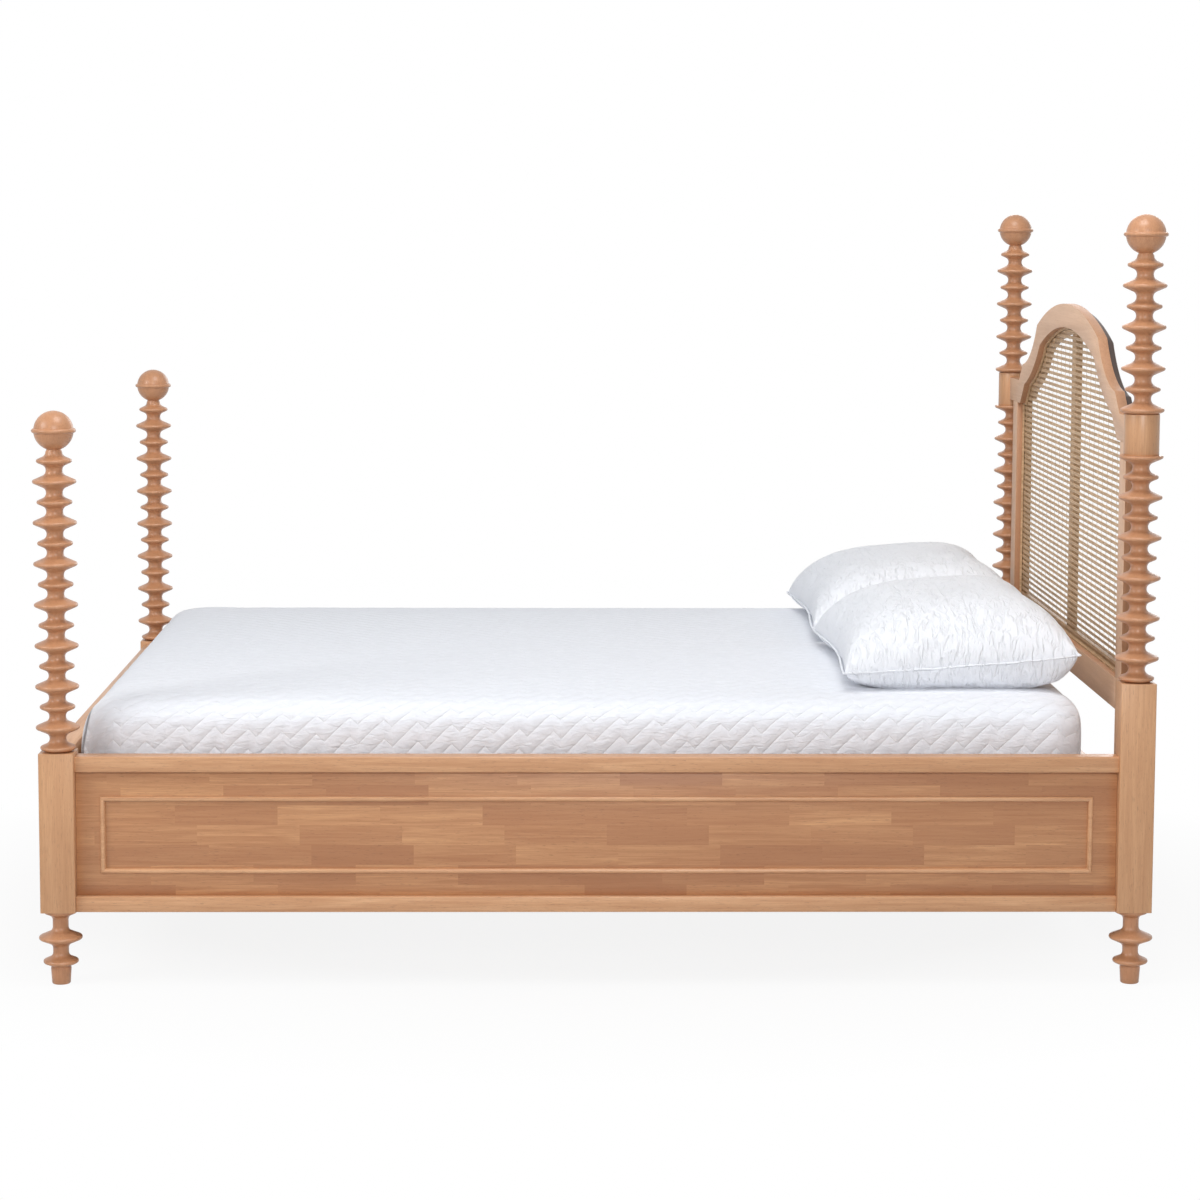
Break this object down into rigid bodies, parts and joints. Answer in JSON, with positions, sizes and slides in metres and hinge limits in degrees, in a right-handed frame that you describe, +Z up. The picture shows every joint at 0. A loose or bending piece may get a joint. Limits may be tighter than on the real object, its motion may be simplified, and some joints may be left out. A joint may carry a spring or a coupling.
{
  "type": "four-poster bed",
  "caption": "Wooden bed with turned disc-and-ball posts, an arched cane headboard, panelled rails, a slat deck, a mattress and loose pillows.",
  "frame": {"origin": "on the floor under the middle of the four posts", "axes": "+X runs from the foot to the head, +Y to the left of someone at the foot who looks at the headboard, +Z up"},
  "size_m": [2.244, 1.6878, 1.5455],
  "materials": {
    "light_wood": "satin",
    "dark_wood": "satin",
    "deck_wood": "matt",
    "cane": "satin",
    "steel": "matt black",
    "glide_plastic": "matt",
    "webbing": "matt",
    "mattress_cover": "matt",
    "pillow_case": "matt"
  },
  "bodies": {
    "bed": {"back_frame_arch": "dark_wood", "back_frame_bottom_rail": "dark_wood", "back_frame_centre_stile": "dark_wood", "back_frame_stile_left": "dark_wood", "back_frame_stile_right": "dark_wood", "bed_bolts": "steel", "cane_panel": "cane", "cane_spline": "cane", "centre_beam": "deck_wood", "centre_beam_hangers": "steel", "centre_leg_glides": "glide_plastic", "centre_legs": "deck_wood", "corner_brackets": "steel", "foot_block_left": "light_wood", "foot_block_right": "light_wood", "foot_post_spindles": "light_wood", "foot_rail_base": "light_wood", "foot_rail_bead": "light_wood", "foot_rail_cap": "light_wood", "foot_rail_panel": "light_wood", "head_block_left": "light_wood", "head_block_right": "light_wood", "head_cross_rail": "light_wood", "head_post_collars": "light_wood", "head_post_lower_spindles": "light_wood", "head_post_upper_spindles": "light_wood", "headboard_arch_rail": "light_wood", "headboard_bottom_rail": "light_wood", "headboard_dowels": "light_wood", "headboard_stile_left": "light_wood", "headboard_stile_right": "light_wood", "side_rail_left_base": "light_wood", "side_rail_left_bead": "light_wood", "side_rail_left_cap": "light_wood", "side_rail_left_panel": "light_wood", "side_rail_right_base": "light_wood", "side_rail_right_bead": "light_wood", "side_rail_right_cap": "light_wood", "side_rail_right_panel": "light_wood", "slat_ledger_left": "deck_wood", "slat_ledger_right": "deck_wood", "slat_straps": "webbing", "slats": "deck_wood", "turned_legs": "light_wood"},
    "mattress": {"mattress": "mattress_cover"},
    "pillow_left": {"pillow_left": "pillow_case"},
    "pillow_right": {"pillow_right": "pillow_case"}
  },
  "joints": [
    {"name": "mattress_lift", "type": "slide", "parent": "bed", "child": "mattress", "axis": [0, 0, 1], "range_m": [0, 0.35]},
    {"name": "pillow_left_lift", "type": "slide", "parent": "mattress", "child": "pillow_left", "axis": [0, 0, 1], "range_m": [0, 0.3]},
    {"name": "pillow_right_lift", "type": "slide", "parent": "mattress", "child": "pillow_right", "axis": [0, 0, 1], "range_m": [0, 0.3]}
  ]
}
